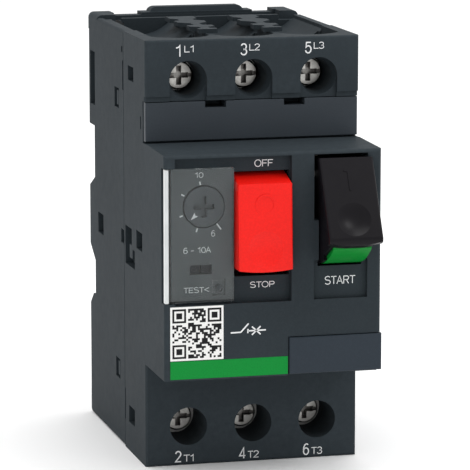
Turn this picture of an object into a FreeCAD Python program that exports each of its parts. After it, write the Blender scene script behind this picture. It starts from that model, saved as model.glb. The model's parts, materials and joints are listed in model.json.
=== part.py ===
import FreeCAD, Part
import math
import os

# Three-pole motor protection breaker for a 35 mm top-hat rail.
#
# Everything is drawn in a bench frame, in millimetres: X to the right seen from the front,
# Y to the back from the face that the terminal screws sit behind, Z up from the underside.
# save() then moves each piece so that the origin is at the rail seat: on the middle plane,
# on the plane that the rail's lips touch, level with the rail's centre line.

Vec = FreeCAD.Vector

# --- driving dimensions -------------------------------------------------------------------
WIDTH = 45.0
HEIGHT = 88.4                 # top of the terminal block; the rear bridge rises above it
BACK_Y = 55.0
SEAM_Y = 19.8                 # joint between the front housing and the rear base
NOSE_Y = -17.1                # face of the nose
NOSE_WALL_Y = -12.9           # back of the wall that carries the controls
NOSE_BOTTOM = 21.6
NOSE_TOP = 67.2
POLE_PITCH = 13.75
POLE_SHIFT = 0.25             # the poles sit a touch right of the middle plane
RAIL_FACE_Y = 49.2            # plane that the rail's lips rest against
RAIL_CENTRE_Z = 46.7
RAIL_HEIGHT = 35.0
RAIL_LIP = 1.0
WALL = 2.0

HALF = WIDTH / 2
POLES = [POLE_SHIFT + POLE_PITCH * i for i in (-1, 0, 1)]
PARTITIONS = [POLE_SHIFT + POLE_PITCH * i for i in (-0.5, 0.5)]
RUNNING = 0.05                # radial clearance of a shaft in its hole

# Terminals: the screw axis, the front of its head, and what follows behind the head.
LINE_Z = 80.2
LOAD_Z = 8.2
LINE_HEAD_Y = 8.0
LOAD_HEAD_Y = 9.8
HEAD_RADIUS = 3.0
HEAD_LENGTH = 2.4
SHANK_RADIUS = 2.0
SHANK_LENGTH = 12.6
CLAMP_THICK = 1.2
CLAMP_GAP = 4.6               # room for the wire between the clamp and the strip
STRIP_THICK = 1.6
CHAMBER_HALF = 5.9            # half width of the room each pole's parts sit in
INNER_BACK_Y = 46.0

# Front controls.
COVER_LEFT = -22.3
COVER_RIGHT = -8.15
COVER_BOTTOM = 37.4
COVER_TOP = 64.4
COVER_THICK = 1.2
COVER_HINGE = (-21.5, -16.1)  # x, y of the cover's upright hinge line
PANEL_DEPTH = 1.6             # the control field lies this far behind the nose's face
PANEL_Y = NOSE_Y + PANEL_DEPTH
DIAL_X, DIAL_Z = -14.1, 56.6
DIAL_RADIUS = 4.1
DIAL_SHAFT = 2.4
STOP_LEFT, STOP_RIGHT = -7.75, 3.45
STOP_PIVOT = (-14.2, 60.4)    # y, z of the stop button's pin
STOP_REACH = 17.9             # from that pin to the button's underside
START_LEFT, START_RIGHT = 9.1, 20.3       # the start button's face plate
START_BODY = (9.65, 18.35)    # the part of it that enters the well
START_PIVOT = (-12.0, 62.0)   # y, z of the start button's pin
START_REACH = 18.4            # from that pin to the green flank's surface
START_TILT = 27.8             # degrees that the start button stands out when off
START_OFFSET = 7.2            # from the pin to the plane of the face
START_PLATE = 1.7             # thickness of the face plate
FACE_LENGTH = 16.9            # height of the start button's flat face, down to its rounded lip
FACE_BULGE = 0.5              # how far a face's lower edge curves down in its middle
PIN_RADIUS = 1.0
STOP_SPRING_X = (-3.9, -0.4)    # where the torsion springs lie along the two pins
START_SPRING_X = (13.1, 16.9)

# Mechanism.
ROD_X, ROD_Z, ROD_RADIUS = 15.0, 54.0, 1.5
CARRIER_Y = (22.9, 28.5)
TRIP_BAR = (26.0, 37.0)       # y, z of its axis
TRIP_BAR_RADIUS = 1.7
LATCH_PIVOT = (13.0, 46.0)    # y, z
COIL_Y = 36.0
COIL_Z = (12.6, 31.0)


# --- small helpers ------------------------------------------------------------------------
def box(x0, x1, y0, y1, z0, z1):
    return Part.makeBox(x1 - x0, y1 - y0, z1 - z0, Vec(x0, y0, z0))


def between(xa, xb, y0, y1, z0, z1):
    """A box whose two x values may come in either order."""
    return box(min(xa, xb), max(xa, xb), y0, y1, z0, z1)


def rod_x(y, z, radius, x0, x1):
    return Part.makeCylinder(radius, x1 - x0, Vec(x0, y, z), Vec(1, 0, 0))


def rod_y(x, z, radius, y0, y1):
    return Part.makeCylinder(radius, y1 - y0, Vec(x, y0, z), Vec(0, 1, 0))


def rod_z(x, y, radius, z0, z1):
    return Part.makeCylinder(radius, z1 - z0, Vec(x, y, z0), Vec(0, 0, 1))


def prism(points, direction):
    wire = Part.makePolygon([Vec(*p) for p in points] + [Vec(*points[0])])
    return Part.Face(wire).extrude(direction)


def prism_x(outline, x0, x1):
    """Extrude a (y, z) outline from x0 to x1."""
    return prism([(x0, y, z) for y, z in outline], Vec(x1 - x0, 0, 0))


def prism_y(outline, y0, y1):
    """Extrude an (x, z) outline from y0 to y1."""
    return prism([(x, y0, z) for x, z in outline], Vec(0, y1 - y0, 0))


def prism_z(outline, z0, z1):
    """Extrude an (x, y) outline from z0 to z1."""
    return prism([(x, y, z0) for x, y in outline], Vec(0, 0, z1 - z0))


def join(pieces):
    whole = pieces[0]
    if len(pieces) > 1:
        whole = whole.fuse(pieces[1:])
    return whole.removeSplitter()


def carve(body, tools):
    return body.cut(tools).removeSplitter()


def mirrored(shape):
    return shape.mirror(Vec(0, 0, 0), Vec(1, 0, 0))


def round_edges(body, radius, wanted):
    """Round the straight edges that wanted(middle, direction) picks."""
    picked = []
    for edge in body.Edges:
        if edge.Curve.TypeId == "Part::GeomLine":
            if wanted(edge.CenterOfMass, edge.Curve.Direction):
                picked.append(edge)
    return body.makeFillet(radius, picked)


def near(value, target, within=0.01):
    return abs(value - target) < within


def upright(direction):
    return abs(direction.z) > 0.99


def across(direction):
    return abs(direction.x) > 0.99


def deep(direction):
    return abs(direction.y) > 0.99


def save(name, shapes):
    """Write one node. A list holds separate solids of the same kind."""
    if not isinstance(shapes, list):
        shapes = [shapes]
    shift = Vec(0, -RAIL_FACE_Y, -RAIL_CENTRE_Z)
    moved = []
    for shape in shapes:
        for solid in shape.Solids:
            piece = solid.copy()
            piece.translate(shift)
            moved.append(piece)
    whole = moved[0] if len(moved) == 1 else Part.makeCompound(moved)
    if not whole.isValid():
        print("invalid shape:", name)
    whole.exportStep("parts/" + name + ".step")


# --- terminals ----------------------------------------------------------------------------
def cross_recess(x, z, y0):
    """A cross recess with one long slot, as terminal screws have, cut into a head."""
    slot = box(x - 2.65, x + 2.65, y0 - 1, y0 + 0.8, z - 0.4, z + 0.4)
    bar = box(x - 0.55, x + 0.55, y0 - 1, y0 + 1.7, z - 2.0, z + 2.0)
    wing = box(x - 2.0, x + 2.0, y0 - 1, y0 + 1.7, z - 0.55, z + 0.55)
    return [slot, bar, wing]


def terminal_screw(x, z, head_y):
    """Captive M4 screw with a low cheese head."""
    head = rod_y(x, z, HEAD_RADIUS, head_y, head_y + HEAD_LENGTH)
    head = head.makeChamfer(0.35, [e for e in head.Edges if near(e.CenterOfMass.y, head_y)
                                   and e.Curve.TypeId == "Part::GeomCircle"])
    shank_end = head_y + HEAD_LENGTH + SHANK_LENGTH
    shank = rod_y(x, z, SHANK_RADIUS, head_y + HEAD_LENGTH, shank_end)
    shank = shank.makeChamfer(0.5, [e for e in shank.Edges if near(e.CenterOfMass.y, shank_end)
                                    and e.Curve.TypeId == "Part::GeomCircle"])
    return carve(head.fuse(shank), cross_recess(x, z, head_y))


def wire_clamp(x, z, head_y):
    """Square clamp plate under the screw head, with its two sides bent towards the wire."""
    y0 = head_y + HEAD_LENGTH + 0.05
    y1 = y0 + CLAMP_THICK
    plate = box(x - 4.9, x + 4.9, y0, y1, z - 3.9, z + 3.9)
    lips = [box(x + s * 4.4 - 0.5, x + s * 4.4 + 0.5, y1, y1 + 0.9, z - 3.9, z + 3.9) for s in (-1, 1)]
    hole = rod_y(x, z, SHANK_RADIUS + RUNNING, y0 - 1, y1 + 1)
    return carve(join([plate] + lips), [hole])


def strip_front(head_y):
    """Where the terminal strip's wire face lies behind a head that starts at head_y."""
    return head_y + HEAD_LENGTH + 0.05 + CLAMP_THICK + CLAMP_GAP


def line_strip(x):
    """Line side copper: terminal face, run over the arc chute, and the fixed contact's loop."""
    y0 = strip_front(LINE_HEAD_Y)
    face = box(x - CHAMBER_HALF, x + CHAMBER_HALF, y0, y0 + STRIP_THICK, 76.6, 84.6)
    run = box(x - 2.6, x + 2.6, y0, INNER_BACK_Y, 76.6, 77.8)
    back = box(x - 2.6, x + 2.6, INNER_BACK_Y - 1.2, INNER_BACK_Y, 64.0, 77.8)
    shelf = box(x - 2.6, x + 2.6, 36.8, INNER_BACK_Y, 64.0, 65.2)
    finger = box(x - 2.6, x + 2.6, 36.8, 38.0, 61.0, 65.2)
    hole = rod_y(x, LINE_Z, SHANK_RADIUS + RUNNING, y0 - 1, y0 + STRIP_THICK + 1)
    return carve(join([face, run, back, shelf, finger]), [hole])


def load_strip(x):
    """Load side copper: terminal face and the tongue that carries the bimetal's foot."""
    y0 = strip_front(LOAD_HEAD_Y)
    face = box(x - CHAMBER_HALF, x + CHAMBER_HALF, y0, y0 + STRIP_THICK, 3.8, 12.6)
    tongue = box(x - 2.6, x + 2.6, y0, y0 + STRIP_THICK, 12.6, 18.0)
    hole = rod_y(x, LOAD_Z, SHANK_RADIUS + RUNNING, y0 - 1, y0 + STRIP_THICK + 1)
    return carve(join([face, tongue]), [hole])


def coil_strip(x):
    """Copper from the lower fixed contact, around the lower arc chute, down to the coil."""
    finger = box(x - 2.6, x + 2.6, 36.8, 38.0, 47.0, 51.2)
    shelf = box(x - 2.6, x + 2.6, 36.8, INNER_BACK_Y, 47.0, 48.2)
    back = box(x - 2.6, x + 2.6, INNER_BACK_Y - 1.2, INNER_BACK_Y, 32.2, 48.2)
    foot = box(x - 2.6, x + 2.6, 41.6, INNER_BACK_Y, 32.2, 33.4)
    return join([finger, shelf, back, foot])


def contact_tips(x):
    return [box(x - 2.0, x + 2.0, 35.8, 36.8, z, z + 3.2) for z in (61.4, 47.6)]


# --- arc chutes ---------------------------------------------------------------------------
CHUTE_ZONES = [(66.6, 1), (45.6, -1)]     # z of the first plate, and the way the stack grows
CHUTE_PLATES = 5
CHUTE_PITCH = 1.6


def arc_plates(x):
    plates = []
    for start, way in CHUTE_ZONES:
        for i in range(CHUTE_PLATES):
            z0 = start + way * CHUTE_PITCH * i
            plate = box(x - 4.6, x + 4.6, 33.0, 43.4, z0, z0 + 0.8)
            notch = prism_z([(x - 2.4, 32), (x + 2.4, 32), (x + 0.9, 37.5), (x - 0.9, 37.5)], z0 - 1, z0 + 2)
            plates.append(carve(plate, [notch]))
    return plates


def arc_cheeks(x):
    """Fibre cheeks that hold the plates on both sides."""
    cheeks = []
    for start, way in CHUTE_ZONES:
        last = start + way * CHUTE_PITCH * (CHUTE_PLATES - 1)
        low, high = min(start, last) - 0.5, max(start, last) + 1.3
        for side in (-1, 1):
            inner = x + side * 4.6
            outer = x + side * CHAMBER_HALF
            cheeks.append(box(min(inner, outer), max(inner, outer), 32.4, 43.8, low, high))
    return cheeks


# --- thermal and magnetic trip ------------------------------------------------------------
def bimetal(x):
    y0 = strip_front(LOAD_HEAD_Y) + STRIP_THICK
    foot = box(x - 2.4, x + 2.4, y0, y0 + 0.9, 13.4, 18.0)
    blade = box(x - 1.9, x + 1.9, y0, y0 + 0.9, 18.0, 40.0)
    return join([foot, blade])


def heater_winding(x):
    """Flat heater wire wound round the bimetal, with the tie that ends it at the top."""
    y_mid = strip_front(LOAD_HEAD_Y) + STRIP_THICK + 0.45
    turns = []
    for i in range(7):
        z0 = 20.0 + 1.7 * i
        outer = box(x - 3.5, x + 3.5, y_mid - 1.9, y_mid + 1.9, z0, z0 + 1.1)
        inner = box(x - 2.5, x + 2.5, y_mid - 0.9, y_mid + 0.9, z0 - 1, z0 + 3)
        turns.append(outer.cut(inner))
    tie = box(x - 3.5, x - 2.9, y_mid + 0.9, y_mid + 1.9, 20.0, 31.3)
    return join(turns + [tie])


def coil_bobbin(x):
    z0, z1 = COIL_Z
    spool = rod_z(x, COIL_Y, 2.6, z0, z1)
    flanges = [rod_z(x, COIL_Y, 5.4, z0, z0 + 0.9), rod_z(x, COIL_Y, 5.4, z1 - 0.9, z1)]
    bore = rod_z(x, COIL_Y, 1.75, z0 + 1.2, z1 + 1)
    return carve(join([spool] + flanges), [bore])


def coil_winding(x):
    """Thick copper wire round the bobbin, each turn a full bulge of the outline."""
    turns = 7
    z0 = COIL_Z[0] + 1.1
    pitch = (COIL_Z[1] - COIL_Z[0] - 2.2) / turns
    inner, middle, bulge = 2.7, 4.1, 1.0
    edges = []
    for i in range(turns):
        low = z0 + pitch * i
        start = Vec(x + middle, COIL_Y, low)
        peak = Vec(x + middle + bulge, COIL_Y, low + pitch / 2)
        end = Vec(x + middle, COIL_Y, low + pitch)
        edges.append(Part.Arc(start, peak, end).toShape())
    top = z0 + pitch * turns
    corners = [Vec(x + middle, COIL_Y, top), Vec(x + inner, COIL_Y, top),
               Vec(x + inner, COIL_Y, z0), Vec(x + middle, COIL_Y, z0)]
    for a, b in zip(corners, corners[1:]):
        edges.append(Part.makeLine(a, b))
    face = Part.Face(Part.Wire(edges))
    return face.revolve(Vec(x, COIL_Y, 0), Vec(0, 0, 1), 360)


def magnet_yoke(x):
    """Steel bracket that closes the coil's magnetic path."""
    z0, z1 = COIL_Z
    bottom = box(x - 4.6, x + 4.6, 31.0, 43.2, z0 - 1.3, z0 - 0.05)
    back = box(x - 4.6, x + 4.6, 42.0, 43.2, z0 - 1.3, z1 + 1.2)
    top = box(x - 4.6, x + 4.6, 31.0, 43.2, z1 + 0.05, z1 + 1.2)
    bore = rod_z(x, COIL_Y, 2.2, z1 - 1, z1 + 2)
    return carve(join([bottom, back, top]), [bore])


def plunger(x):
    z0 = COIL_Z[0] + 3.2
    core = rod_z(x, COIL_Y, 1.7, z0, 29.5)
    tip = rod_z(x, COIL_Y, 1.1, 29.5, 34.2)
    return join([core, tip])


def trip_bar():
    """Bar across the three poles; a finger below it for each bimetal, an arm over each plunger."""
    y, z = TRIP_BAR
    pieces = [rod_x(y, z, TRIP_BAR_RADIUS, -20.9, 21.4)]
    for x in POLES:
        pieces.append(box(x - 1.4, x + 1.4, y - 4.4, y - 3.0, z - 3.4, z + 1.0))
        pieces.append(box(x - 1.4, x + 1.4, y - 4.4, y, z - 0.8, z + 1.0))
        pieces.append(box(x - 1.4, x + 1.4, y, COIL_Y + 1.0, z - 0.9, z + 0.5))
    pieces.append(prism_x([(y - 1.0, z), (y - 4.6, z + 3.6), (y - 3.6, z + 4.4), (y + 0.6, z + 1.2)], 16.4, 18.2))
    return join(pieces)


# --- drive from the start button to the contacts ------------------------------------------
def contact_carrier():
    """Moulded bar through all three poles, with a window for each contact bridge."""
    y0, y1 = CARRIER_Y
    bar = box(-20.0, 20.4, y0, y1, 51.5, 60.5)
    windows = []
    for x in POLES:
        windows.append(box(x - 4.9, x + 4.9, y0 + 1.2, y1 + 1, 50.0, 62.0))
    body = carve(bar, windows)
    posts = [rod_y(x, 56.0, 1.2, y0 + 0.6, y0 + 2.4) for x in POLES]
    return join([body] + posts)


def contact_bridge(x):
    """Moving bridge of one pole with its two silver tips."""
    y0 = CARRIER_Y[1] + 1.0
    plate = box(x - 2.3, x + 2.3, y0, y0 + 1.2, 47.4, 64.8)
    tips = [box(x - 1.9, x + 1.9, y0 + 1.2, y0 + 2.0, z, z + 3.0) for z in (61.5, 47.7)]
    return join([plate] + tips)


def contact_spring(x):
    """Pressure spring between the carrier and a bridge, drawn as its closed coils."""
    start = CARRIER_Y[0] + 1.2
    end = CARRIER_Y[1] + 1.0
    turns = 5
    wire = 0.3
    radius = 1.9
    pitch = (end - start) / turns
    edges = []
    for i in range(turns):
        low = start + pitch * i
        edges.append(Part.Arc(Vec(x + radius, low, 56.0), Vec(x + radius + wire, low + pitch / 2, 56.0),
                              Vec(x + radius, low + pitch, 56.0)).toShape())
    corners = [Vec(x + radius, end, 56.0), Vec(x + radius - wire, end, 56.0),
               Vec(x + radius - wire, start, 56.0), Vec(x + radius, start, 56.0)]
    for a, b in zip(corners, corners[1:]):
        edges.append(Part.makeLine(a, b))
    return Part.Face(Part.Wire(edges)).revolve(Vec(x, 0, 56.0), Vec(0, 1, 0), 360)


def bridge_guide(x):
    """Clip that ties a bridge to the carrier's window and seats the pressure spring."""
    y0, y1 = CARRIER_Y
    legs = [box(x + s * 3.4 - 0.5, x + s * 3.4 + 0.5, y0 + 1.2, y1 + 1.0, 54.0, 58.0) for s in (-1, 1)]
    return legs


def drive_rod():
    """Push rod from the start button's back to the carrier, with a collar for the latch."""
    tip = START_PIVOT[0] + 3.4
    rod = rod_y(ROD_X, ROD_Z, ROD_RADIUS, tip, CARRIER_Y[0])
    collar = rod_y(ROD_X, ROD_Z, 2.3, 17.4, 18.6)
    return join([rod, collar])


def mechanism_frame():
    """Folded steel frame that holds the latch pin and guides the push rod."""
    left, right, thick = 9.6, HALF - 2.4, 0.8
    sides = [box(x, x + thick, 2.6, 16.8, 42.6, 60.0) for x in (left, right - thick)]
    front = box(left, right, 2.6, 2.6 + thick, 42.6, 60.0)
    body = join(sides + [front])
    guide = rod_y(ROD_X, ROD_Z, ROD_RADIUS + RUNNING, 1.0, 5.0)
    pin_hole = rod_x(*LATCH_PIVOT, PIN_RADIUS, 9.0, 21.0)
    return carve(body, [guide, pin_hole])


def latch_pin():
    return rod_x(*LATCH_PIVOT, PIN_RADIUS, 9.6, HALF - 2.4)


def latch_lever():
    """Two-armed lever: its nose stands under the push rod's collar, its tail meets the trip bar."""
    y, z = LATCH_PIVOT
    hub = rod_x(y, z, 2.2, 13.0, 18.4)
    nose = prism_x([(y - 1.6, z), (y + 1.8, z), (y + 3.2, z + 5.4), (y + 1.6, z + 5.6)], 13.4, 16.6)
    tail = prism_x([(y, z - 1.8), (y + 1.2, z + 1.2), (y + 7.4, z - 3.6), (y + 6.8, z - 5.2)], 16.2, 18.3)
    bore = rod_x(y, z, PIN_RADIUS + RUNNING, 12.0, 19.0)
    return carve(join([hub, nose, tail]), [bore])


# --- start and stop buttons ---------------------------------------------------------------
def outline_face(edges):
    return Part.Face(Part.Wire(Part.__sortEdges__(edges)))


def line_yz(a, b):
    return Part.makeLine(Vec(0, *a), Vec(0, *b))


def arc_yz(a, middle, b):
    return Part.Arc(Vec(0, *a), Vec(0, *middle), Vec(0, *b)).toShape()


def on_circle(centre, radius, degrees):
    angle = math.radians(degrees)
    return (centre[0] + radius * math.cos(angle), centre[1] + radius * math.sin(angle))


def start_frame():
    """Directions of the tilted start button: up its face, and straight out of it, as (y, z)."""
    tilt = math.radians(START_TILT)
    return (math.sin(tilt), math.cos(tilt)), (-math.cos(tilt), math.sin(tilt))


def on_start(distance, height=0.0):
    """Point (y, z) of the start button's face: distance up from the pin's foot, height above it."""
    up, out = start_frame()
    lift = START_OFFSET + height
    y = START_PIVOT[0] + out[0] * lift + up[0] * distance
    z = START_PIVOT[1] + out[1] * lift + up[1] * distance
    return (y, z)


START_TOP = 0.5               # where the face ends above the pin's foot, and below it
START_LIP = START_TOP - FACE_LENGTH


def start_profile():
    """Side outline of the start rocker at rest, tilted out; its underside is an arc about the pin."""
    reach = START_REACH - 0.1
    under_front = on_circle(START_PIVOT, reach, 228.3)
    under_mid = on_circle(START_PIVOT, reach, 250)
    under_back = on_circle(START_PIVOT, reach, 268)
    back_low = (START_PIVOT[0] + 1.4, START_PIVOT[1] - 15.5)
    back_high = (START_PIVOT[0] + 2.6, START_PIVOT[1] - 4.0)
    top_back = (START_PIVOT[0] + 2.4, START_PIVOT[1] + 3.0)
    face_top = on_start(START_TOP)
    lip = on_start(START_LIP)
    lip_mid = on_start(START_LIP - 0.95, -0.4)
    lip_end = on_start(START_LIP - 1.4, -1.3)
    edges = [line_yz(face_top, lip), arc_yz(lip, lip_mid, lip_end), line_yz(lip_end, under_front),
             arc_yz(under_front, under_mid, under_back), line_yz(under_back, back_low),
             line_yz(back_low, back_high), line_yz(back_high, top_back), line_yz(top_back, face_top)]
    return outline_face(edges)


def below_curved_edge(middle, foot, up, out):
    """What to cut off below a face so that its lower edge bulges down by FACE_BULGE."""
    half = (START_RIGHT - START_LEFT) / 2
    radius = (half * half + FACE_BULGE * FACE_BULGE) / (2 * FACE_BULGE)
    centre = Vec(middle, foot[0] + up[0] * radius, foot[1] + up[1] * radius)
    axis = Vec(0, *out)
    start = centre - axis * 8
    ring = Part.makeCylinder(radius + 6, 10, start, axis).cut(Part.makeCylinder(radius, 10, start, axis))
    low = Vec(middle, foot[0] - up[0] * 3 - out[0] * 3, foot[1] - up[1] * 3 - out[1] * 3)
    near_edge = Part.makeSphere(7.5, low)
    return ring.common(near_edge)


def spring_room(pivot, x0, x1):
    """Space round the pin for a torsion spring, open to the button's back."""
    y, z = pivot
    radius = PIN_RADIUS + 0.85
    return [rod_x(y, z, radius, x0 - 0.1, x1 + 0.1), box(x0 - 0.1, x1 + 0.1, y, y + 6.0, z - radius, z + radius)]


def start_button():
    """Black rocker: a face plate on a hollow body, with a finger dimple and a raised figure one."""
    up, out = start_frame()
    profile = start_profile()
    body = profile.extrude(Vec(START_BODY[1] - START_BODY[0], 0, 0))
    body.translate(Vec(START_BODY[0], 0, 0))
    plate = profile.extrude(Vec(START_RIGHT - START_LEFT, 0, 0))
    plate.translate(Vec(START_LEFT, 0, 0))
    corners = [on_start(4, 1), on_start(-30, 1), on_start(-30, -START_PLATE), on_start(4, -START_PLATE)]
    plate = plate.common(prism_x(corners, START_LEFT - 1, START_RIGHT + 1))
    front = on_start(START_TOP - FACE_LENGTH / 2)
    plate = round_edges(plate, 0.4, lambda m, d: abs(d.y * out[0] + d.z * out[1]) < 0.01 and not across(d)
                        and math.hypot(m.y - front[0], m.z - front[1]) < 0.3)
    plate = carve(plate, [box(19.3, 25.0, NOSE_Y - 0.3, 0, 40, 70)])
    middle = (START_LEFT + START_RIGHT) / 2
    body = join([body, plate])
    body = carve(body, [below_curved_edge(middle, on_start(START_LIP - 1.42), up, out)])
    dimple_y, dimple_z = on_start(START_TOP - 13.1)
    ball_radius, depth = 7.0, 0.95
    centre = Vec(middle, dimple_y + out[0] * (ball_radius - depth), dimple_z + out[1] * (ball_radius - depth))
    left, right = START_BODY[0] + 1.0, START_BODY[1] - 1.0
    hollow = prism_x([on_start(-7.5, -3.2), on_start(-15.5, -3.2), (START_PIVOT[0] - 3.0, 42.0), (START_PIVOT[0] + 4.0, 42.0),
                      (START_PIVOT[0] + 4.0, 52.4)], left, right)
    seat = Part.makeCylinder(START_REACH + 2, 12, Vec(8.0, *START_PIVOT), Vec(1, 0, 0))
    seat = seat.cut(Part.makeCylinder(START_REACH - 2.2, 12, Vec(8.0, *START_PIVOT), Vec(1, 0, 0)))
    seat = seat.common(box(8.0, 19.0, FLANK_FRONT - 0.05, START_PIVOT[0] + 4.0, 40.0, 52.0)).cut(start_cheek(0.0))
    bore = rod_x(*START_PIVOT, PIN_RADIUS + RUNNING, START_LEFT - 1, START_RIGHT + 1)
    room = spring_room(START_PIVOT, *START_SPRING_X)
    body = carve(body, [Part.makeSphere(ball_radius, centre), hollow, seat, bore] + room)
    stem = figure_bar(START_TOP - 2.6, START_TOP - 7.0, middle - 0.2, middle + 0.2)
    flag = figure_bar(START_TOP - 2.6, START_TOP - 3.0, middle - 0.9, middle + 0.1)
    return join([body, stem, flag])


def figure_bar(high, low, x0, x1):
    """One stroke of the figure, standing a little proud of the start button's face."""
    lift, sunk = 0.12, -0.5
    return prism_x([on_start(high, lift), on_start(low, lift), on_start(low, sunk), on_start(high, sunk)], x0, x1)


def start_cheek(gap):
    """Room of the thin black cheek that covers the green flank's left side; its foot slopes back and down."""
    front, back = FLANK_FRONT - 1, START_PIVOT[0] + 5
    foot = [(front, 46.9 - gap), (back, 40.4 - gap), (back, 60.0), (front, 60.0)]
    return prism_x(foot, START_BODY[0] - 1, START_BODY[0] + 0.7 + gap)


FLANK_FRONT = START_PIVOT[0] + START_REACH * math.cos(math.radians(228.1))


def start_flank():
    """Green insert under the rocker: a curved skin that shows while the button stands out."""
    ring = Part.makeCylinder(START_REACH, START_BODY[1] - START_BODY[0], Vec(START_BODY[0], *START_PIVOT), Vec(1, 0, 0))
    ring = ring.cut(Part.makeCylinder(START_REACH - 2.15, 30, Vec(0, *START_PIVOT), Vec(1, 0, 0)))
    return ring.common(box(0, 30, FLANK_FRONT, START_PIVOT[0] + 0.6, 40.0, 52.0)).cut(start_cheek(0.05))


def stop_button():
    """Red rocker: flat face with a small outward lean, bevelled top, rounded underside."""
    left, right = STOP_LEFT, STOP_RIGHT
    y, z = STOP_PIVOT
    top_back = (-13.0, 62.9)
    face_top = (-18.7, 61.2)
    face_low = (-19.5, 44.0)
    under_front = on_circle(STOP_PIVOT, STOP_REACH, 255)
    under_mid = on_circle(STOP_PIVOT, STOP_REACH, 264)
    under_back = on_circle(STOP_PIVOT, STOP_REACH, 272)
    lip_mid = (-19.25, 43.35)
    edges = [line_yz(top_back, face_top), line_yz(face_top, face_low), arc_yz(face_low, lip_mid, under_front),
             arc_yz(under_front, under_mid, under_back), line_yz(under_back, (-11.6, 58.0)),
             line_yz((-11.6, 58.0), (-11.6, 62.9)), line_yz((-11.6, 62.9), top_back)]
    body = outline_face(edges).extrude(Vec(right - left, 0, 0))
    body.translate(Vec(left, 0, 0))
    middle = (left + right) / 2
    body = carve(body, [below_curved_edge(middle, (-19.2, 43.35), (0.0, 1.0), (-1.0, 0.0))])
    body = round_edges(body, 0.4, lambda m, d: not across(d) and (near(m.x, left) or near(m.x, right))
                       and m.y < -15 and m.z > 48.0)
    # A ring mark stands a little proud, and a finger dimple is sunk below it.
    lean = (face_top[0] - face_low[0]) / (face_top[1] - face_low[1])
    ring_z = 57.0
    ring_y = face_top[0] + lean * (ring_z - face_top[1])
    ring = rod_y(middle, ring_z, 2.1, ring_y - 0.12, ring_y + 0.6).cut(rod_y(middle, ring_z, 1.7, ring_y - 1, ring_y + 2))
    dimple_z = 48.4
    dimple_y = face_top[0] + lean * (dimple_z - face_top[1])
    ball_radius, depth = 9.0, 0.75
    ball = Part.makeSphere(ball_radius, Vec(middle, dimple_y - ball_radius + depth, dimple_z))
    hollow = box(left + 1.2, right - 1.2, -17.4, -10.0, 40.0, 57.4)
    bore = rod_x(y, z, PIN_RADIUS + RUNNING, left - 1, right + 1)
    room = spring_room(STOP_PIVOT, *STOP_SPRING_X)
    return join([carve(body, [ball, hollow, bore] + room), ring])


# --- clear cover, dial, test slider -------------------------------------------------------
CATCH_X = (-12.3, -9.9)
CATCH_Z = (38.7, 41.6)
CATCH_DEPTH = 0.35            # how far the cover's catch sinks into the panel
PANEL_X = (-20.75, -8.9)
PANEL_Z = (37.6, 64.2)
PANEL_EDGE = 0.25             # thickness of the panel's edge in front of the stop button's web


def clear_cover():
    """Clear cover over the dial, hinged on its thick left edge by two moulded stubs."""
    hx, hy = COVER_HINGE
    plate = box(COVER_LEFT, COVER_RIGHT, NOSE_Y, NOSE_Y + COVER_THICK, COVER_BOTTOM, COVER_TOP)
    strip = box(COVER_LEFT, COVER_LEFT + 1.2, NOSE_Y, NOSE_Y + 1.5, COVER_BOTTOM, COVER_TOP)
    body = join([plate, strip])
    body = round_edges(body, 0.25, lambda m, d: near(m.y, NOSE_Y) and (across(d) or upright(d)))
    stubs = [rod_z(hx, hy, 0.4, COVER_TOP - 0.5, COVER_TOP + 1.2),
             rod_z(hx, hy, 0.4, COVER_BOTTOM - 1.2, COVER_BOTTOM + 0.5)]
    catch = box(*CATCH_X, NOSE_Y + COVER_THICK, PANEL_Y + CATCH_DEPTH, *CATCH_Z)
    seal_hole = rod_y(sum(CATCH_X) / 2, sum(CATCH_Z) / 2, 0.7, NOSE_Y - 1, NOSE_Y + 4)
    return carve(join([body, catch] + stubs), [seal_hole])


def setting_dial():
    """Current-setting dial with a cross slot and a shaft into the housing."""
    face_y = NOSE_Y + COVER_THICK + 0.12
    disc = rod_y(DIAL_X, DIAL_Z, DIAL_RADIUS, face_y, face_y + 2.6)
    shaft = rod_y(DIAL_X, DIAL_Z, DIAL_SHAFT, face_y + 2.6, -7.0)
    slot_up = box(DIAL_X - 0.5, DIAL_X + 0.5, face_y - 1, face_y + 1.0, DIAL_Z - 2.1, DIAL_Z + 2.1)
    slot_across = box(DIAL_X - 2.1, DIAL_X + 2.1, face_y - 1, face_y + 1.0, DIAL_Z - 0.5, DIAL_Z + 0.5)
    return carve(join([disc, shaft]), [slot_up, slot_across])


def dial_cam():
    """Eccentric on the dial's shaft that shifts the trip setting."""
    cam = rod_y(DIAL_X + 0.9, DIAL_Z, 3.4, -10.0, -7.6)
    hole = rod_y(DIAL_X, DIAL_Z, DIAL_SHAFT, -11.0, -6.0)
    return cam.cut(hole)


TEST_X = (-17.0, -12.5)
TEST_Z = (42.9, 44.8)


def setting_panel():
    """Plate with the setting scale; the dial turns in it and the test slot opens through it."""
    plate = join([box(*PANEL_X, PANEL_Y, PANEL_Y + 1.4, *PANEL_Z),
                  box(PANEL_X[1] - 1, STOP_LEFT - 0.35, PANEL_Y, PANEL_Y + PANEL_EDGE, *PANEL_Z)])
    dial_hole = rod_y(DIAL_X, DIAL_Z, DIAL_RADIUS + 0.25, PANEL_Y - 1, PANEL_Y + 3)
    slot = box(*TEST_X, PANEL_Y - 1, PANEL_Y + 3, *TEST_Z)
    catch_seat = box(CATCH_X[0] - 0.2, CATCH_X[1] + 0.2, PANEL_Y - 1, PANEL_Y + CATCH_DEPTH + 0.1,
                     CATCH_Z[0] - 0.2, CATCH_Z[1] + 0.2)
    return carve(plate, [dial_hole, slot, catch_seat])


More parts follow.
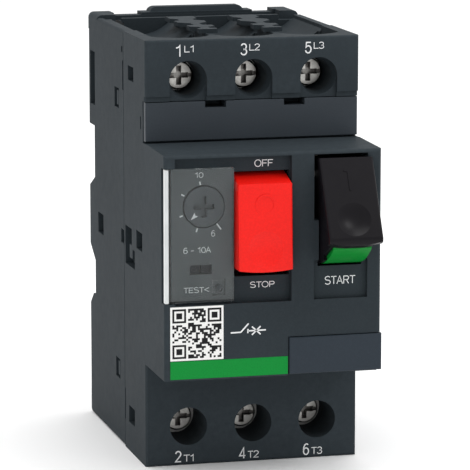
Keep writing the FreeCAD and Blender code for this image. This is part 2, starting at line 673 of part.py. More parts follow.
def test_slider():
    """Slider behind the test slot, with a groove for a screwdriver and a foot to the trip bar."""
    y0 = PANEL_Y + 1.5
    plate = box(TEST_X[0] - 0.6, TEST_X[1] + 0.8, y0, y0 + 1.4, TEST_Z[0] - 0.9, TEST_Z[1] + 0.9)
    groove = box(TEST_X[0] + 1.7, TEST_X[0] + 2.7, y0 - 1, y0 + 0.9, TEST_Z[0] - 2, TEST_Z[1] + 2)
    arm = box(-16.0, -14.4, y0 + 1.4, 19.0, 42.6, 44.4)
    return carve(join([plate, arm]), [groove])


# --- rail clip ----------------------------------------------------------------------------
CLIP_HALF = 6.8
CLIP_TOP = RAIL_CENTRE_Z - RAIL_HEIGHT / 2 + 2.2
CLIP_FRONT = RAIL_FACE_Y + RAIL_LIP + 0.4
CLIP_SPRING_Z = (4.2, 14.0)
CLIP_SPRING_Y = CLIP_FRONT - 1.6


def rail_clip():
    """Sliding foot behind the rail's lower lip, with a slot in its tail for a screwdriver."""
    outline = [(CLIP_FRONT, 3.6), (54.4, 3.6), (54.4, CLIP_TOP - 3.4), (CLIP_FRONT + 1.2, CLIP_TOP), (CLIP_FRONT, CLIP_TOP)]
    plate = prism_x(outline, -CLIP_HALF, CLIP_HALF)
    flanges = box(-CLIP_HALF - 1.3, CLIP_HALF + 1.3, CLIP_FRONT, CLIP_FRONT + 1.5, 5.0, 22.0)
    tab = box(-1.5, 1.5, CLIP_FRONT - 2.8, CLIP_FRONT, CLIP_SPRING_Z[1], CLIP_SPRING_Z[1] + 2.0)
    slot = box(-2.6, 2.6, CLIP_FRONT + 1.4, 56.0, 6.0, 8.4)
    return carve(join([plate, flanges, tab]), [slot])


def rail_clip_spring():
    """Spring that pushes the clip up, drawn as its closed coils."""
    z0, z1 = CLIP_SPRING_Z
    turns = 8
    pitch = (z1 - z0) / turns
    radius, wire = 0.95, 0.3
    edges = []
    for i in range(turns):
        low = z0 + pitch * i
        edges.append(Part.Arc(Vec(radius, CLIP_SPRING_Y, low), Vec(radius + wire, CLIP_SPRING_Y, low + pitch / 2),
                              Vec(radius, CLIP_SPRING_Y, low + pitch)).toShape())
    corners = [Vec(radius, CLIP_SPRING_Y, z1), Vec(radius - wire, CLIP_SPRING_Y, z1),
               Vec(radius - wire, CLIP_SPRING_Y, z0), Vec(radius, CLIP_SPRING_Y, z0)]
    for a, b in zip(corners, corners[1:]):
        edges.append(Part.makeLine(a, b))
    return Part.Face(Part.Wire(edges)).revolve(Vec(0, CLIP_SPRING_Y, 0), Vec(0, 0, 1), 360)


# --- housing ------------------------------------------------------------------------------
STRIP_SLOTS = (-9.9, 6.7)                 # left ends of the blanking strip's two release slots
SNAPS = [(71.6, 75.8), (13.6, 17.8)]      # z of the four snap windows, two on each side


def snap_hook(z0, z1):
    """Snap arm of the front housing that springs into a window of the rear base."""
    arm = box(-21.3, -20.5, SEAM_Y - 1.0, 28.0, z0 + 0.3, z1 - 0.3)
    head = prism_z([(-21.3, 25.2), (-22.35, 25.4), (-22.35, 26.8), (-21.3, 27.9)], z0 + 0.6, z1 - 0.6)
    return join([arm, head])


def snap_window(z0, z1):
    window = box(-HALF - 1, -20.3, 24.4, 28.6, z0, z1)
    channel = box(-21.5, -20.3, SEAM_Y - 1, 28.6, z0, z1)
    return [window, channel]


def line_entry(x):
    """Funnel and room for one line wire, open at the top."""
    room = box(x - CHAMBER_HALF, x + CHAMBER_HALF, LINE_HEAD_Y + HEAD_LENGTH, SEAM_Y + 1, 73.8, HEIGHT + 5)
    front_y = 9.9
    cone = Part.makeCone(5.0, 6.9, 4.0, Vec(x, front_y, HEIGHT - 3.9), Vec(0, 0, 1))
    sides = box(x - 6.2, x + 6.2, 0, SEAM_Y + 1, HEIGHT - 4, HEIGHT + 1)
    mouth = box(x - 6.2, x + 6.2, front_y, SEAM_Y + 1, HEIGHT - 2.0, HEIGHT + 1)
    return [room, cone.common(sides), mouth]


def line_screw_well(x):
    """Screwdriver well: an arched recess in the face that narrows to the screw's bore."""
    y0 = -0.45
    step_y = 0.45
    arch = rod_y(x, LINE_Z, 3.9, y0 - 1, step_y)
    legs = box(x - 3.9, x + 3.9, y0 - 1, step_y, 75.0, LINE_Z)
    cone = Part.makeCone(3.9, 3.35, 1.9, Vec(x, step_y, LINE_Z), Vec(0, 1, 0))
    bore = rod_y(x, LINE_Z, 3.35, 0, LINE_HEAD_Y + HEAD_LENGTH + 0.1)
    return [arch, legs, cone, bore]


def load_screw_well(x):
    return rod_y(x, LOAD_Z, 3.95, -1, LOAD_HEAD_Y + HEAD_LENGTH + 0.1)


def front_outer():
    """Outside of the front housing: terminal block, nose, and the proud line block."""
    block = box(-HALF, HALF, 0, SEAM_Y, 0, HEIGHT)
    block = round_edges(block, 0.7, lambda m, d: (upright(d) and near(m.y, 0)) or
                        (across(d) and near(m.y, 0) and near(m.z, 0)))
    proud = box(-HALF, HALF, -0.45, 3.0, 76.9, HEIGHT)
    proud = round_edges(proud, 0.5, lambda m, d: near(m.y, -0.45) and (upright(d) or near(m.z, HEIGHT)))
    nose = prism_x([(2.0, NOSE_BOTTOM), (NOSE_Y, NOSE_BOTTOM), (NOSE_Y, NOSE_TOP), (2.0, NOSE_TOP + 0.3)],
                   -HALF, HALF)
    nose = round_edges(nose, 0.75, lambda m, d: near(m.y, NOSE_Y) and (upright(d) or m.z > NOSE_TOP - 1))
    return join([block, proud, nose])


def front_housing():
    """Front shell: both rows of screw wells, the nose with its openings, and the snap arms."""
    body = front_outer()
    nose_room = box(-HALF + WALL, HALF - WALL, NOSE_WALL_Y, 3.0, NOSE_BOTTOM + 2.2, NOSE_TOP - 2.2)
    middle_room = box(-HALF + 2.4, HALF - 2.4, 2.4, SEAM_Y + 1, 15.6, 72.0)
    cuts = [nose_room, middle_room]
    for x in POLES:
        cuts += line_entry(x)
        cuts += line_screw_well(x)
        cuts.append(load_screw_well(x))
        cuts.append(box(x - CHAMBER_HALF, x + CHAMBER_HALF, LOAD_HEAD_Y + HEAD_LENGTH, SEAM_Y + 1, -1, 13.8))
        cuts.append(box(x - 2.8, x + 2.8, strip_front(LOAD_HEAD_Y), SEAM_Y + 1, 13.0, 16.0))
    # Seat of the blanking strip.
    cuts.append(box(-HALF - 1, HALF + 1, -1, 1.8, NOSE_TOP + 0.15, 75.85))
    cuts += [box(x, x + 4.4, 1.0, 5.0, 74.4, 75.85) for x in STRIP_SLOTS]
    # Control field: cover and setting panel, stop column, start label and the two button openings.
    cuts.append(box(-20.3, STOP_RIGHT + 0.3, NOSE_Y - 1, PANEL_Y, 36.9, 66.5))
    cuts.append(box(PANEL_X[0] - 0.05, PANEL_X[1] + 0.05, NOSE_Y - 1, PANEL_Y + 1.4, PANEL_Z[0] - 0.05, PANEL_Z[1] + 0.05))
    cuts.append(box(PANEL_X[1] - 1, -8.0, NOSE_Y - 1, PANEL_Y + PANEL_EDGE, PANEL_Z[0] - 0.05, PANEL_Z[1] + 0.05))
    cuts.append(box(-18.6, -9.6, NOSE_Y - 1, 0, 38.3, 62.4))
    cuts.append(box(-20.0, -11.4, NOSE_Y - 1, 0, TEST_Z[0] - 1.1, TEST_Z[1] + 1.1))
    cuts.append(box(STOP_LEFT - 0.25, STOP_RIGHT + 0.2, NOSE_Y - 1, 0, 42.1, 63.4))
    cuts.append(box(8.4, 19.6, NOSE_Y - 1, NOSE_Y + 0.9, 37.0, 45.0))
    cuts.append(box(8.4, 19.65, NOSE_Y - 1, 0, 53.1, 66.5))
    sweep = Part.makeCylinder(START_REACH + 0.45, 9.2, Vec(9.4, *START_PIVOT), Vec(1, 0, 0))
    cuts.append(sweep.common(box(9.4, 18.6, NOSE_Y - 1, 0, 40.0, 53.2)))
    cuts.append(rod_x(*START_PIVOT, PIN_RADIUS, 6.9, 21.8))
    cuts.append(rod_x(*STOP_PIVOT, PIN_RADIUS, -8.8, 5.7))
    # Hinge notch of the clear cover and the two holes for its stubs.
    hx, hy = COVER_HINGE
    cuts.append(box(-HALF - 1, -20.1, NOSE_Y - 1, hy + 1.5, COVER_BOTTOM - 0.15, COVER_TOP + 0.15))
    cuts.append(rod_z(hx, hy, 0.4 + RUNNING, COVER_BOTTOM - 1.4, COVER_TOP + 1.4))
    # Seat of the marker plate.
    cuts.append(box(3.1, HALF + 1, NOSE_Y - 1, NOSE_Y + 0.8, 0, 29.6))
    cuts.append(box(HALF - 0.6, HALF + 1, NOSE_Y - 1, NOSE_Y + 9.0, 0, 29.6))
    # Openings in the flanks for side-mounted accessories.
    cuts += side_openings()
    body = carve(body, cuts)
    return join([body] + front_ribs() + snap_hooks() + partition_clips())


def side_openings():
    """Windows and grooves in the two flanks of the front housing."""
    shallow = 1.2
    left = [box(-HALF - 1, -HALF + shallow, 10.4, 15.5, 78.7, 81.7),
            box(-HALF - 1, -HALF + shallow, 3.3, 4.1, 69.9, 72.5),
            box(-HALF - 1, -HALF + shallow, 10.5, 16.0, 6.2, 9.8),
            box(-HALF - 1, -HALF + shallow, SEAM_Y - 0.5, SEAM_Y + 1, 6.0, 12.7),
            box(-HALF - 1, -HALF + 3.0, 12.6, 18.7, 44.4, 47.8),
            box(-HALF - 1, -HALF + 1.6, 14.6, 18.7, 40.0, 44.6),
            box(-HALF - 1, -HALF + 1.6, 9.8, 18.7, 39.7, 41.6),
            box(-HALF - 1, -HALF + 1.6, 9.8, 12.0, 41.0, 43.6),
            box(-HALF - 1, -HALF + 3.0, 2.8, 8.2, 44.6, 48.4)]
    right = [mirrored(left[i]) for i in (0, 2, 3)]
    return left + right


def front_ribs():
    """Webs inside the nose that carry the button pins and guide the test slider."""
    stop_hole = rod_x(*STOP_PIVOT, PIN_RADIUS, -10.0, 6.0)
    start_hole = rod_x(*START_PIVOT, PIN_RADIUS, 5.0, 21.8)
    dial_hole = rod_y(DIAL_X, DIAL_Z, DIAL_SHAFT + RUNNING, NOSE_WALL_Y - 1, 0)
    left_web = box(-8.8, -8.0, PANEL_Y + PANEL_EDGE, -8.0, 56.0, 65.2)
    middle_web = box(4.4, 5.7, PANEL_Y + 0.1, -8.0, 56.0, 65.2)
    right_web = box(6.9, 8.2, PANEL_Y + 0.1, -8.0, 56.0, 65.2)
    bearing = box(-19.0, -8.8, NOSE_WALL_Y, NOSE_WALL_Y + 1.8, 50.0, 65.2)
    return [left_web.cut(stop_hole), middle_web.cut(stop_hole), right_web.cut(start_hole), bearing.cut(dial_hole)]


def snap_hooks():
    hooks = []
    for z0, z1 in SNAPS:
        hooks.append(snap_hook(z0, z1))
        hooks.append(mirrored(snap_hook(z0, z1)))
    return hooks


def blanking_strip():
    """Clip-in strip under the line terminals, with two release slots in its upper edge."""
    strip = box(-HALF + 0.15, HALF - 0.15, 0.0, 1.7, NOSE_TOP + 0.55, 75.7)
    slots = [box(x, x + 4.4, -1, 3, 74.4, 76.0) for x in STRIP_SLOTS]
    strip = round_edges(strip, 0.15, lambda m, d: near(m.y, 0) and (across(d) or upright(d)))
    return carve(strip, slots)


def marker_plate():
    """Blank plate for the installer's own marking, wrapped round the nose's lower right corner."""
    face = box(3.25, HALF + 0.15, NOSE_Y - 0.4, NOSE_Y + 0.7, NOSE_BOTTOM + 0.3, 29.45)
    flank = box(HALF - 0.5, HALF + 0.15, NOSE_Y - 0.4, NOSE_Y + 8.8, NOSE_BOTTOM + 0.3, 29.45)
    plate = join([face, flank])
    return round_edges(plate, 0.3, lambda m, d: near(m.y, NOSE_Y - 0.4) and (upright(d) or across(d)))


EAR_INNER = 17.8              # the two ears at the rear corners: inner edge, front end
EAR_FRONT = 46.4
TROUGH_BACK = 44.0            # rear wall of the three troughs behind the line wires


def rear_outer():
    """Outside of the rear base, with the rail recess across its back and the bridge on top."""
    block = box(-HALF, HALF, SEAM_Y + 0.05, BACK_Y, 0, HEIGHT)
    block = round_edges(block, 1.2, lambda m, d: across(d) and near(m.y, BACK_Y))
    block = round_edges(block, 0.6, lambda m, d: upright(d) and near(m.y, BACK_Y))
    bridge = prism_x([(BACK_Y, HEIGHT - 3), (BACK_Y, 89.4), (BACK_Y - 0.6, 90.0), (BACK_Y - 3.4, 90.0),
                      (BACK_Y - 4.6, HEIGHT - 3)], -9.6, 11.4)
    bridge = round_edges(bridge, 1.4, lambda m, d: deep(d) and near(m.z, 90.0))
    shoulder = box(-11.6, 13.2, BACK_Y - 4.4, BACK_Y, HEIGHT - 3, 88.95)
    ears = [box(-HALF, -EAR_INNER, EAR_FRONT, BACK_Y, HEIGHT - 3, 89.0), box(EAR_INNER, HALF, EAR_FRONT, BACK_Y, HEIGHT - 3, 89.0)]
    ears = [round_edges(ear, 1.2, lambda m, d: deep(d) and near(m.z, 89.0) and near(abs(m.x), HALF)) for ear in ears]
    return join([block, bridge, shoulder] + ears)


def rail_recess():
    """Space for the rail: its two lips bear on the recess floor, the hump enters its channel."""
    over = HALF + 1
    upper = [(BACK_Y + 1, 64.7), (RAIL_FACE_Y, 64.7), (RAIL_FACE_Y, 53.4), (BACK_Y, 50.8), (BACK_Y + 1, 50.8)]
    lower = [(BACK_Y + 1, 38.4), (BACK_Y, 38.4), (RAIL_FACE_Y, 35.0), (RAIL_FACE_Y, 27.3),
             (RAIL_FACE_Y + 2.1, 27.3), (BACK_Y, 24.4), (BACK_Y + 1, 24.4)]
    return [prism_x(upper, -over, over), prism_x(lower, -over, over)]


def seat_pockets():
    """Shallow pockets in the rail seat opposite the two hooks and the clip."""
    floor = RAIL_FACE_Y - 0.6
    pockets = [box(x - 0.4, x + 6.4, floor, RAIL_FACE_Y + 0.1, 61.6, 64.7) for x in HOOKS_X]
    pockets.append(box(-CLIP_HALF - 0.6, CLIP_HALF + 0.6, floor, RAIL_FACE_Y + 0.1, 27.3, CLIP_TOP + 0.6))
    return pockets


HOOKS_X = (-18.0, 12.0)       # left sides of the two fixed rail hooks


def rail_hooks():
    """Two fixed hooks behind the rail's upper lip."""
    y0 = RAIL_FACE_Y + RAIL_LIP + 0.3
    outline = [(y0, 65.0), (y0, 62.4), (y0 + 0.8, 62.0), (y0 + 2.6, 63.4), (BACK_Y - 0.4, 65.0)]
    return [prism_x(outline, x, x + 6.0) for x in HOOKS_X]


def clip_channel():
    """Guide for the rail clip and the pocket of its spring."""
    gap = 0.2
    wide = CLIP_HALF + 1.3 + gap
    return [box(-CLIP_HALF - gap, CLIP_HALF + gap, CLIP_FRONT - gap, BACK_Y + 1, -1, 27.4),
            box(-wide, wide, CLIP_FRONT - gap, CLIP_FRONT + 1.5 + gap, -1, 22.3),
            box(-1.7, 1.7, CLIP_FRONT - 3.0, CLIP_FRONT, CLIP_SPRING_Z[0], CLIP_SPRING_Z[1] + 2.2)]


def top_scoops():
    """Round-bottomed trough behind each line wire, the low deck behind them, and the ears' gaps."""
    cuts = [box(-18.3, 18.3, TROUGH_BACK + 1.4, BACK_Y - 4.6, HEIGHT - 0.9, HEIGHT + 3)]
    for x in POLES:
        trough = rod_y(x, HEIGHT + 5.5, 9.0, SEAM_Y - 1, TROUGH_BACK)
        cuts.append(trough.common(box(x - 6.5, x + 6.5, SEAM_Y - 2, TROUGH_BACK + 1, 80, HEIGHT + 3)))
    notch_front, notch_floor = EAR_FRONT - 3.4, HEIGHT - 1.2
    cuts.append(box(-21.2, -17.4, notch_front, EAR_FRONT, notch_floor, HEIGHT + 3))
    cuts.append(box(17.4, HALF + 1, notch_front, EAR_FRONT, notch_floor, HEIGHT + 3))
    cuts.append(box(-20.9, -17.0, notch_front, BACK_Y + 1, HEIGHT - 3.0, HEIGHT - 0.9))
    for side in (-1, 1):
        cuts.append(between(side * 19.6, side * 20.2, 4.0, 42.0, HEIGHT - 0.45, HEIGHT + 1))
    return cuts


def rear_rooms():
    """Rooms of the three poles and the passages between them."""
    cuts = []
    for x in POLES:
        left, right = x - CHAMBER_HALF, x + CHAMBER_HALF
        cuts.append(box(left, right, SEAM_Y - 1, INNER_BACK_Y, 15.0, 82.6))
        cuts.append(box(left, right, SEAM_Y - 1, 29.0, -1, 13.6))
        cuts.append(box(x - 3.2, x + 3.2, SEAM_Y - 1, 29.0, 13.0, 16.0))
        cuts.append(box(left, right, 29.0, INNER_BACK_Y, COIL_Z[0] - 1.3, 16.0))
        cuts.append(box(left, right, SEAM_Y - 1, SEAM_Y + 1.4, 80.0, HEIGHT))
    carrier_slot = box(-20.3, 20.7, SEAM_Y - 1, CARRIER_Y[1] + 4.8, 50.9, 61.1)
    y, z = TRIP_BAR
    snug = TRIP_BAR_RADIUS + RUNNING
    bar_slot = box(-21.0, 21.5, SEAM_Y - 1, y, z - snug, z + snug)
    bar_bore = rod_x(y, z, snug, -21.0, 21.5)
    return cuts + [carrier_slot, bar_slot, bar_bore]


def rear_side_openings():
    """Grooves and pockets in the flanks of the rear base."""
    left = [box(-HALF - 1, -HALF + 3.2, 48.6, 53.2, 69.2, 80.8),
            box(-18.0, -9.0, 49.6, BACK_Y + 1, 69.2, 80.8),
            box(-HALF - 1, -HALF + 2.4, 40.6, 46.0, 41.9, 46.3),
            box(-HALF - 1, -HALF + 1.2, SEAM_Y, SEAM_Y + 1.1, 75.9, 82.1),
            box(-HALF - 1, -HALF + 1.2, SEAM_Y + 0.9, SEAM_Y + 2.0, 83.8, 85.0),
            box(-HALF - 1, -HALF + 1.2, SEAM_Y, 22.8, 43.5, 46.4),
            box(-HALF - 1, -HALF + 0.3, SEAM_Y, SEAM_Y + 0.3, -1, HEIGHT + 1),
            box(-20.4, -10.8, 49.6, BACK_Y + 1, 3.0, 21.4)]
    middle = box(-6.0, 6.0, 49.6, BACK_Y + 1, 69.2, 80.8)
    foot = prism_x([(37.6, -1), (38.4, 0.5), (40.6, 0.5), (41.2, -1)], -HALF - 1, HALF + 1)
    return left + [mirrored(shape) for shape in left] + [middle, foot]


CLIP_TOP_Z = 89.3             # the marker clips on the two top partitions stand this high
CLIP_NECK = 0.85              # half the width of their necks


def clip_on_partition(x, half):
    """One marker clip: thin wings on a neck that stands on the partition; half is its outline, as (dx, y)."""
    plan = [(x + dx, y) for dx, y in half] + [(x - dx, y) for dx, y in reversed(half)]
    ends = (min(y for _, y in half), max(y for _, y in half))
    neck = box(x - CLIP_NECK, x + CLIP_NECK, *ends, HEIGHT - 2.4, CLIP_TOP_Z)
    return join([neck, prism_z(plan, CLIP_TOP_Z - 0.9, CLIP_TOP_Z)])


def partition_clips():
    """Front halves of the clips on the two top partitions, where marker strips snap in."""
    half = [(2.0, 10.4), (2.0, 12.2), (0.9, 12.6), (0.9, 14.6), (2.7, 15.8), (2.7, 18.4), (0.9, 19.0), (0.9, SEAM_Y - 0.1)]
    return [clip_on_partition(x, half) for x in PARTITIONS]


def rear_clips():
    """Rear halves of the same clips, widening over the troughs."""
    half = [(0.9, SEAM_Y + 0.05), (0.9, 22.0), (3.1, 24.6), (3.3, 27.4), (1.6, 29.0), (1.6, 31.0), (2.9, 32.5), (2.9, 37.0)]
    return [clip_on_partition(x, half) for x in PARTITIONS]


def rear_base():
    """Rear shell: pole rooms, rail recess, clip guide and the seats of the inner parts."""
    body = rear_outer()
    cuts = rail_recess() + seat_pockets() + clip_channel() + top_scoops() + rear_rooms() + rear_side_openings()
    for z0, z1 in SNAPS:
        for tool in snap_window(z0, z1):
            cuts.append(tool)
            cuts.append(mirrored(tool))
    body = carve(body, cuts)
    return join([body] + rail_hooks() + rear_clips())


# --- pins and springs of the buttons ------------------------------------------------------
def coil_round_pin(pivot, x0, x1, turns):
    """Torsion spring round a pin, drawn as its closed coils."""
    y, z = pivot
    pitch = (x1 - x0) / turns
    radius, wire = PIN_RADIUS + 0.35, 0.35
    edges = []
    for i in range(turns):
        low = x0 + pitch * i
        edges.append(Part.Arc(Vec(low, y, z + radius), Vec(low + pitch / 2, y, z + radius + wire),
                              Vec(low + pitch, y, z + radius)).toShape())
    corners = [Vec(x1, y, z + radius), Vec(x1, y, z + PIN_RADIUS + 0.1),
               Vec(x0, y, z + PIN_RADIUS + 0.1), Vec(x0, y, z + radius)]
    for a, b in zip(corners, corners[1:]):
        edges.append(Part.makeLine(a, b))
    return Part.Face(Part.Wire(edges)).revolve(Vec(0, y, z), Vec(1, 0, 0), 360)


def build():
    os.makedirs("parts", exist_ok=True)
    for name, make in SINGLE_NODES.items():
        save(name, make())
    for name, make in GROUPED_NODES.items():
        solids = []
        for x in POLES:
            made = make(x)
            solids += made if isinstance(made, list) else [made]
        save(name, solids)
    for i, x in enumerate(POLES, start=1):
        save("line_screw_%d" % i, terminal_screw(x, LINE_Z, LINE_HEAD_Y))
        save("load_screw_%d" % i, terminal_screw(x, LOAD_Z, LOAD_HEAD_Y))
        save("line_clamp_%d" % i, wire_clamp(x, LINE_Z, LINE_HEAD_Y))
        save("load_clamp_%d" % i, wire_clamp(x, LOAD_Z, LOAD_HEAD_Y))
        save("trip_plunger_%d" % i, plunger(x))


SINGLE_NODES = {
    "front_housing": front_housing,
    "rear_base": rear_base,
    "blanking_strip": blanking_strip,
    "marker_plate": marker_plate,
    "setting_panel": setting_panel,
    "clear_cover": clear_cover,
    "setting_dial": setting_dial,
    "dial_cam": dial_cam,
    "test_slider": test_slider,
    "stop_button": stop_button,
    "stop_pin": lambda: rod_x(*STOP_PIVOT, PIN_RADIUS, -8.8, 5.7),
    "stop_spring": lambda: coil_round_pin(STOP_PIVOT, *STOP_SPRING_X, 5),
    "start_button": start_button,
    "start_flank": start_flank,
    "start_pin": lambda: rod_x(*START_PIVOT, PIN_RADIUS, 6.9, 21.8),
    "start_spring": lambda: coil_round_pin(START_PIVOT, *START_SPRING_X, 5),
    "drive_rod": drive_rod,
    "contact_carrier": contact_carrier,
    "mechanism_frame": mechanism_frame,
    "latch_lever": latch_lever,
    "latch_pin": latch_pin,
    "trip_bar": trip_bar,
    "rail_clip": rail_clip,
    "rail_clip_spring": rail_clip_spring,
}

GROUPED_NODES = {
    "line_strips": line_strip,
    "load_strips": load_strip,
    "coil_strips": coil_strip,
    "fixed_contact_tips": contact_tips,
    "contact_bridges": contact_bridge,
    "contact_springs": contact_spring,
    "bridge_guides": bridge_guide,
    "arc_chute_plates": arc_plates,
    "arc_chute_cheeks": arc_cheeks,
    "bimetals": bimetal,
    "heater_windings": heater_winding,
    "coil_bobbins": coil_bobbin,
    "coil_windings": coil_winding,
    "magnet_yokes": magnet_yoke,
}

build()
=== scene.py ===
import json
import math
import random

import bmesh
import bpy
from mathutils import Matrix, Vector


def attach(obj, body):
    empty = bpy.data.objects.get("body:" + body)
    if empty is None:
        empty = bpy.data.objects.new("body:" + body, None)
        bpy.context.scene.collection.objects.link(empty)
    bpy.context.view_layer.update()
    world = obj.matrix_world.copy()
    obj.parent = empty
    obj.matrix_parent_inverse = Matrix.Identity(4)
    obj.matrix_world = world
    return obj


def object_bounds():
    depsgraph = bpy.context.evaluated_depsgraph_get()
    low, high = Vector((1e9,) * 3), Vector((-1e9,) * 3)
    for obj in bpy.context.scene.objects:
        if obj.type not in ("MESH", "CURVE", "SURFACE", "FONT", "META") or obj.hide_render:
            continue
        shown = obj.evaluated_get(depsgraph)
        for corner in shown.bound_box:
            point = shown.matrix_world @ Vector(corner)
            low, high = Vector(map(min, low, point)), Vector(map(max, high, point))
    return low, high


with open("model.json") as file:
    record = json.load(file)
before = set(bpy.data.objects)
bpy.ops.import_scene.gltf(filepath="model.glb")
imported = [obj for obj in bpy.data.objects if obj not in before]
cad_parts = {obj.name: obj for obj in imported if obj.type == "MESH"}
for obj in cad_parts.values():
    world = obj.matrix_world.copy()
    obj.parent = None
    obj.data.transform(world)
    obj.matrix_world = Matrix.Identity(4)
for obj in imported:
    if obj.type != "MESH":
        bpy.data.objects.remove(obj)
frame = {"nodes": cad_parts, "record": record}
cad_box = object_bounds()

# Bench coordinates are millimetres: x from the middle of the breaker, y back from the face of
# the lower terminal block, z up from the underside. at() turns them into the frame's metres.
RAIL_Y = 49.2
RAIL_Z = 46.7

# Faces that carry print, by their bench y.
UPPER_BLOCK_Y = -0.45
LOWER_BLOCK_Y = 0.0
FIELD_Y = -15.5
DIAL_FACE_Y = -15.78
START_LABEL_Y = -16.2
NOSE_Y = -17.1

# Print and labels are thin closed solids that reach a little into the face they lie on.
PRINT_PROUD = 0.03
PRINT_SUNK = 0.01
LINE_WIDTH = 0.28

# Setting dial: the bench (x, z) of its centre.
DIAL = (-14.1, 56.6)


def at(x, y, z):
    return Vector((x / 1000, (y - RAIL_Y) / 1000, (z - RAIL_Z) / 1000))


# --- materials ----------------------------------------------------------------------------
# Texture scales: a feature is about 1/scale metres across.
CLOUD = 45
HAZE = 160
PATCH = 420
SCUFF = 520
RUB = 900
# noise scale of the mottle in the painted recess shade
RECESS_SHADE_MOTTLE = 1500
SCREW_STREAK = 1800
METAL_STREAK = 2400
SPECK = 2600
INK_SPECK = 3800
TOOL_GRAIN = 5200

# Object x, in metres, between which the cover's milky hinge strip gives way to clear plastic.
MILKY_END = -0.02168
CLEAR_START = -0.02158


def srgb(r, g, b):
    """Linear colour from 8-bit display values."""
    out = []
    for value in (r, g, b):
        c = value / 255
        out.append(c / 12.92 if c <= 0.04045 else ((c + 0.055) / 1.055) ** 2.4)
    return tuple(out)


def scaled(colour, factor):
    return tuple(min(1.0, c * factor) for c in colour)


class Graph:
    """Short way to build a node material."""

    def __init__(self, name):
        self.material = bpy.data.materials.new(name)
        self.material.use_nodes = True
        self.tree = self.material.node_tree
        self.shader = self.tree.nodes["Principled BSDF"]
        self.coords = self.tree.nodes.new("ShaderNodeTexCoord").outputs["Object"]

    def link(self, a, b):
        self.tree.links.new(a, b)

    def noise(self, scale, detail=3.0, rough=0.55, stretch=None):
        node = self.tree.nodes.new("ShaderNodeTexNoise")
        node.inputs["Scale"].default_value = scale
        node.inputs["Detail"].default_value = detail
        node.inputs["Roughness"].default_value = rough
        source = self.coords
        if stretch:
            mapping = self.tree.nodes.new("ShaderNodeMapping")
            mapping.inputs["Scale"].default_value = stretch
            self.link(self.coords, mapping.inputs["Vector"])
            source = mapping.outputs["Vector"]
        self.link(source, node.inputs["Vector"])
        return node.outputs["Fac"]

    def ramp(self, source, stops):
        node = self.tree.nodes.new("ShaderNodeValToRGB")
        for element, (position, colour) in zip(node.color_ramp.elements, stops):
            element.position = position
            element.color = (*colour, 1.0)
        self.link(source, node.inputs["Fac"])
        return node.outputs["Color"]

    def spread(self, source, low, high, from_low=0.3, from_high=0.7):
        node = self.tree.nodes.new("ShaderNodeMapRange")
        node.inputs["From Min"].default_value = from_low
        node.inputs["From Max"].default_value = from_high
        node.inputs["To Min"].default_value = low
        node.inputs["To Max"].default_value = high
        self.link(source, node.inputs["Value"])
        return node.outputs["Result"]

    def product(self, a, b):
        node = self.tree.nodes.new("ShaderNodeMath")
        node.operation = "MULTIPLY"
        self.link(a, node.inputs[0])
        self.link(b, node.inputs[1])
        return node.outputs["Value"]

    def mix(self, factor, a, b):
        node = self.tree.nodes.new("ShaderNodeMix")
        node.data_type = "RGBA"
        self.link(factor, node.inputs["Factor"])
        self.link(a, node.inputs["A"])
        self.link(b, node.inputs["B"])
        return node.outputs["Result"]

    def bump(self, height, strength, distance):
        node = self.tree.nodes.new("ShaderNodeBump")
        node.inputs["Strength"].default_value = strength
        node.inputs["Distance"].default_value = distance
        self.link(height, node.inputs["Height"])
        return node.outputs["Normal"]

    def finish(self, colour, roughness, normal=None):
        self.link(colour, self.shader.inputs["Base Color"])
        self.link(roughness, self.shader.inputs["Roughness"])
        if normal:
            self.link(normal, self.shader.inputs["Normal"])
        return self.material


def edge_wear(graph, colour, worn):
    """Lighter rub marks where the surface is sharply convex."""
    convexity = graph.tree.nodes.new("ShaderNodeNewGeometry").outputs["Pointiness"]
    patchy = graph.noise(RUB, 4.0)
    sharp = graph.spread(convexity, 0.0, 0.55, from_low=0.53, from_high=0.62)
    amount = graph.product(sharp, graph.spread(patchy, 0.2, 1.0))
    tone = graph.ramp(patchy, [(0.3, scaled(worn, 0.9)), (0.7, worn)])
    return graph.mix(amount, colour, tone)


def moulded(name, colour, roughness=0.5, grain=0.12, worn=1.5, specular=0.16, coat=0.0,
            grain_scale=TOOL_GRAIN):
    """Moulded plastic: faint flow mottling, eroded-tool grain, rubbed edges."""
    graph = Graph(name)
    cloud = graph.noise(CLOUD, 4.0)
    speck = graph.noise(SPECK, 2.0)
    base = graph.ramp(cloud, [(0.35, scaled(colour, 0.94)), (0.65, scaled(colour, 1.06))])
    fleck = graph.ramp(speck, [(0.38, scaled(colour, 0.88)), (0.62, scaled(colour, 1.12))])
    blend = graph.mix(graph.spread(speck, 0.25, 0.45), base, fleck)
    tinted = edge_wear(graph, blend, scaled(colour, worn))
    rough = graph.spread(graph.noise(SCUFF, 4.0), roughness - 0.025, roughness + 0.03)
    normal = graph.bump(graph.noise(grain_scale, 2.0, 0.6), grain, 0.00006)
    graph.shader.inputs["Specular IOR Level"].default_value = specular
    graph.shader.inputs["Coat Weight"].default_value = coat
    graph.shader.inputs["Coat Roughness"].default_value = 0.25
    return graph.finish(tinted, rough, normal)


def metal_surface(graph, colour, streak, patch, stain, streak_dark):
    """Fine streaks over dull patches; leaves the shader metallic."""
    base = graph.ramp(patch, [(0.35, scaled(colour, stain)), (0.62, colour)])
    fine = graph.ramp(streak, [(0.35, scaled(colour, streak_dark)), (0.65, scaled(colour, 1.08))])
    graph.shader.inputs["Metallic"].default_value = 1.0
    return graph.mix(graph.spread(streak, 0.3, 0.6), base, fine)


